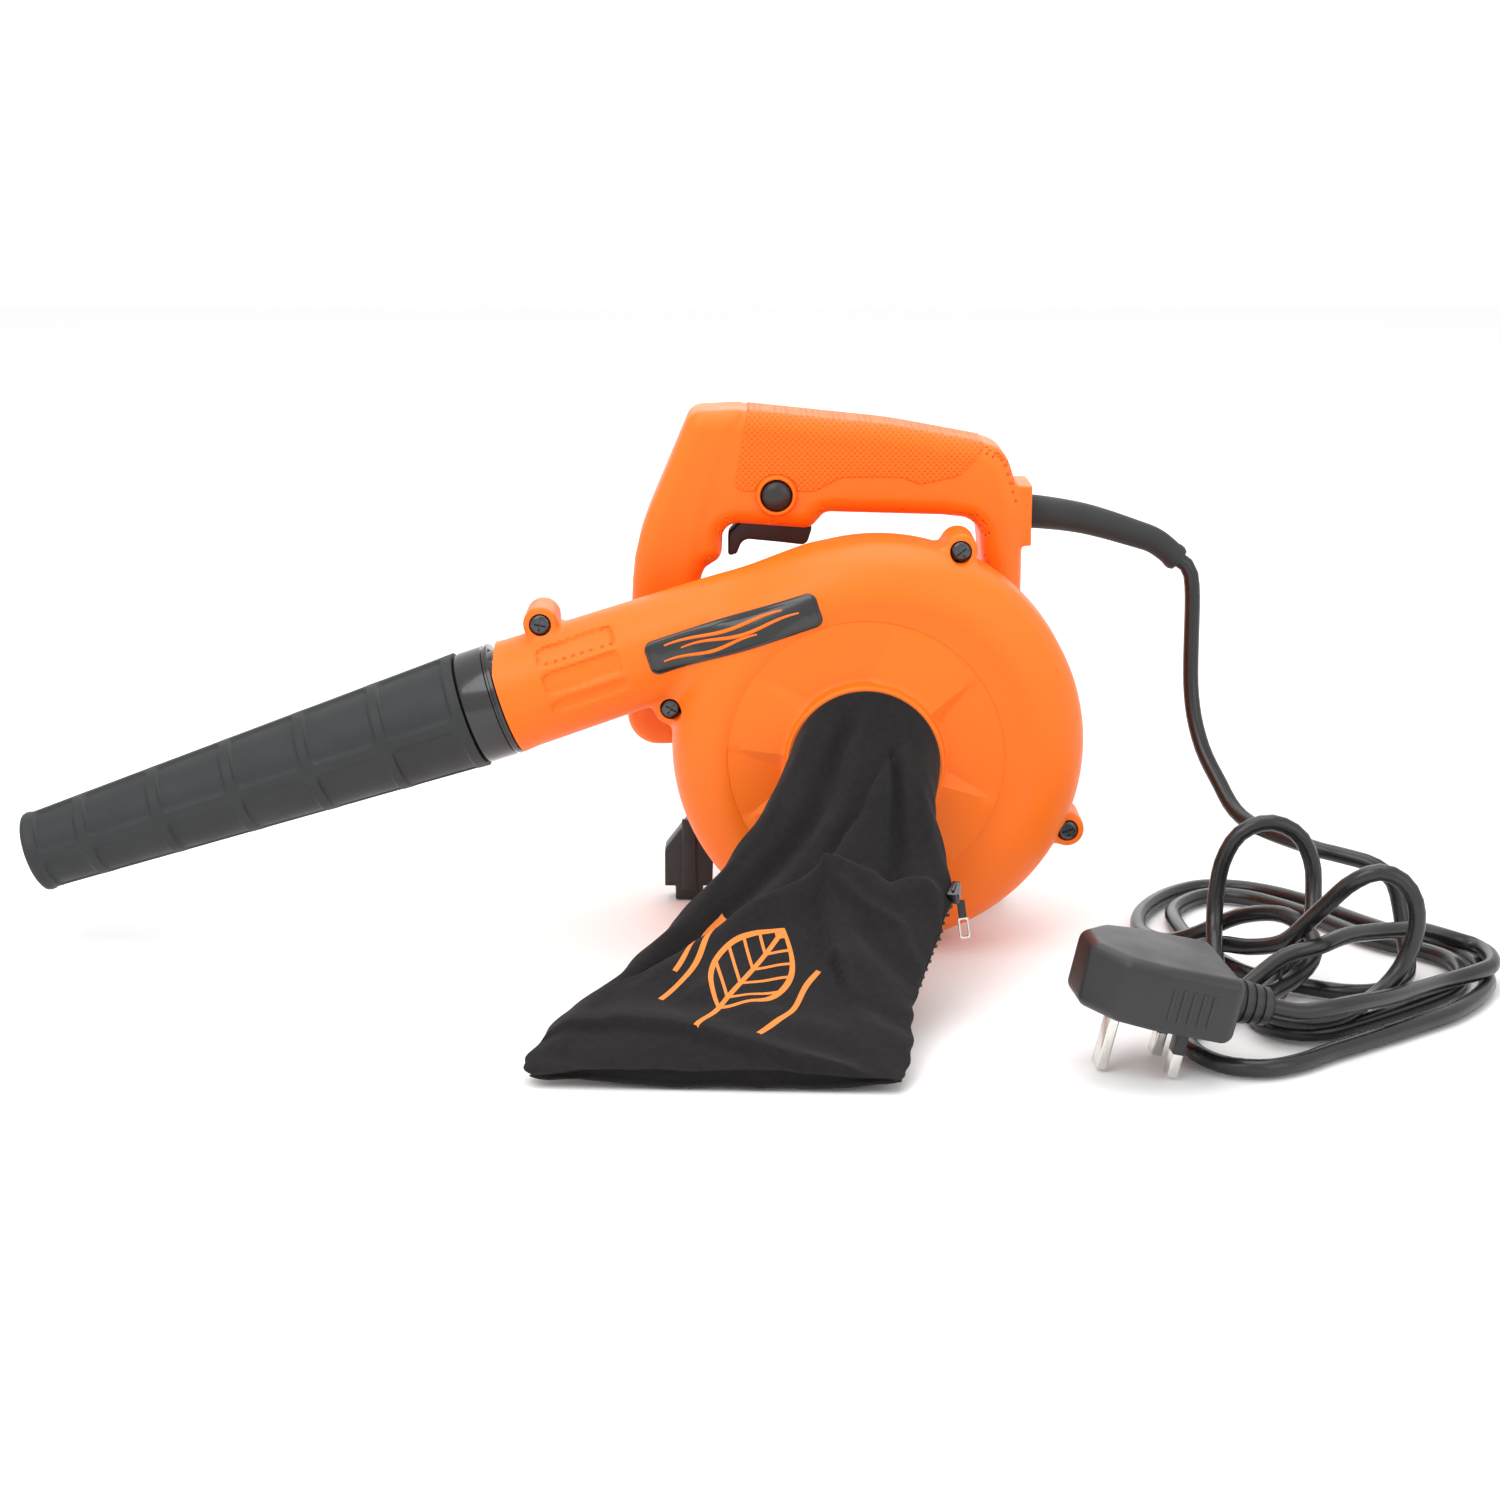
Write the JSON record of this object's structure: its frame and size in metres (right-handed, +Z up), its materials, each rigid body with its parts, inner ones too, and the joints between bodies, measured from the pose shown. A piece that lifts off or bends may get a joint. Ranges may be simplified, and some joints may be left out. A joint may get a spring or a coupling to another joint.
{
  "type": "corded leaf blower",
  "caption": "Hand-held corded electric leaf blower with a round fan casing, closed handle, rubber outlet nozzle, cloth dust bag, and mains cord with a moulded plug.",
  "frame": {"origin": "on the surface that the machine stands on, under the middle of its box, cord and plug left out", "axes": "+X along the machine from the nozzle's tip to the casing, +Y from the dust bag to the motor along the fan's axis, +Z up"},
  "size_m": [0.5814, 0.302, 0.209],
  "materials": {
    "orange": "satin moulded ABS, bright orange",
    "orange_grip": "orange, fine dot texture",
    "black_gloss": "gloss black",
    "black_plastic": "satin black",
    "rubber": "matt black moulded rubber",
    "cloth": "black woven polyester",
    "cord": "gloss black PVC flex",
    "steel": "ground steel",
    "nickel": "bright plated metal",
    "dark_screw": "blackened steel",
    "copper": "enamelled copper",
    "brass": "brass",
    "carbon": "pressed carbon",
    "iron": "stacked laminations",
    "white_nylon": "white nylon"
  },
  "bodies": {
    "machine": {"front_housing": "orange", "rear_housing": "orange", "motor_end_cap": "orange", "inlet_guard": "black_plastic", "housing_screw_1": "dark_screw", "housing_screw_2": "dark_screw", "housing_screw_3": "dark_screw", "housing_screw_4": "dark_screw", "end_cap_screw_1": "dark_screw", "end_cap_screw_2": "dark_screw", "badge_plate": "black_gloss", "stand_foot": "black_plastic", "stator_core": "iron", "field_coil_right": "copper", "field_coil_left": "copper", "front_bearing": "steel", "rear_bearing": "steel", "brush_holder_left": "brass", "brush_holder_right": "brass", "brush_spring_left": "steel", "brush_spring_right": "steel", "handle_front_shell": "orange", "handle_rear_shell": "orange", "grip_panel_front": "orange_grip", "grip_panel_rear": "orange_grip", "handle_screw_1": "dark_screw", "handle_screw_2": "dark_screw", "handle_screw_3": "dark_screw", "switch_body": "black_plastic", "plunger_spring": "steel", "suppression_capacitor": "brass", "cable_clamp": "black_plastic", "trigger_pin": "steel", "lock_spring": "steel", "outlet_collar": "black_gloss", "cord_guard": "rubber", "mains_cord": "cord", "plug_body": "black_plastic", "plug_earth_pin": "nickel", "plug_live_pin": "nickel", "plug_neutral_pin": "nickel"},
    "rotor": {"armature_shaft": "steel", "armature_core": "iron", "armature_winding_front": "copper", "armature_winding_rear": "copper", "commutator": "copper", "impeller": "black_plastic", "impeller_washer": "steel", "impeller_nut": "steel"},
    "trigger": {"trigger": "black_plastic"},
    "plunger": {"switch_plunger": "white_nylon"},
    "lock_button": {"lock_button": "black_plastic"},
    "brush_left": {"carbon_brush_left": "carbon"},
    "brush_right": {"carbon_brush_right": "carbon"},
    "nozzle": {"nozzle": "rubber"},
    "bag": {"dust_bag": "cloth", "bag_neck_band": "cloth"},
    "zip_slider": {"zip_slider": "nickel"},
    "zip_pull": {"zip_pull": "nickel"}
  },
  "joints": [
    {"name": "rotor_spin", "type": "hinge", "parent": "machine", "child": "rotor", "pos_m": [0.1244, 0.029, 0.08], "axis": [0, 1, 0], "continuous": true},
    {"name": "trigger_pivot", "type": "hinge", "parent": "machine", "child": "trigger", "pos_m": [0.0999, 0.076, 0.1658], "axis": [0, 1, 0], "range_deg": [0, 8], "stiffness_Nm_per_rad": 0.3, "springref_deg": -17.19},
    {"name": "plunger_slide", "type": "slide", "parent": "machine", "child": "plunger", "axis": [0, 0, 1], "range_m": [0, 0.0024], "deforming": ["plunger_spring"]},
    {"name": "lock_button_press", "type": "slide", "parent": "machine", "child": "lock_button", "axis": [0, 1, 0], "range_m": [0, 0.003], "stiffness_N_per_m": 150, "springref_m": -0.003, "deforming": ["lock_spring"]},
    {"name": "brush_left_wear", "type": "slide", "parent": "machine", "child": "brush_left", "axis": [1, 0, 0], "range_m": [-0.006, 0], "stiffness_N_per_m": 50, "springref_m": 0.005, "deforming": ["brush_spring_left"]},
    {"name": "brush_right_wear", "type": "slide", "parent": "machine", "child": "brush_right", "axis": [-1, 0, 0], "range_m": [-0.006, 0], "stiffness_N_per_m": 50, "springref_m": 0.005, "deforming": ["brush_spring_right"]},
    {"name": "nozzle_pull", "type": "slide", "parent": "machine", "child": "nozzle", "axis": [-0.9483, 0, -0.3173], "range_m": [0, 0.03]},
    {"name": "bag_pull", "type": "slide", "parent": "machine", "child": "bag", "axis": [0, -1, 0], "range_m": [0, 0.02]},
    {"name": "zip_slide", "type": "slide", "parent": "bag", "child": "zip_slider", "axis": [-0.2784, -0.8551, -0.4375], "range_m": [0, 0.04]},
    {"name": "zip_pull_swing", "type": "hinge", "parent": "zip_slider", "child": "zip_pull", "pos_m": [0.1583, -0.057, 0.0404], "axis": [0, -1, 0], "range_deg": [-5, 60]}
  ],
  "couplings": [
    {"joint": "plunger_slide", "follows": "trigger_pivot", "m_per_rad": 0.0168}
  ]
}
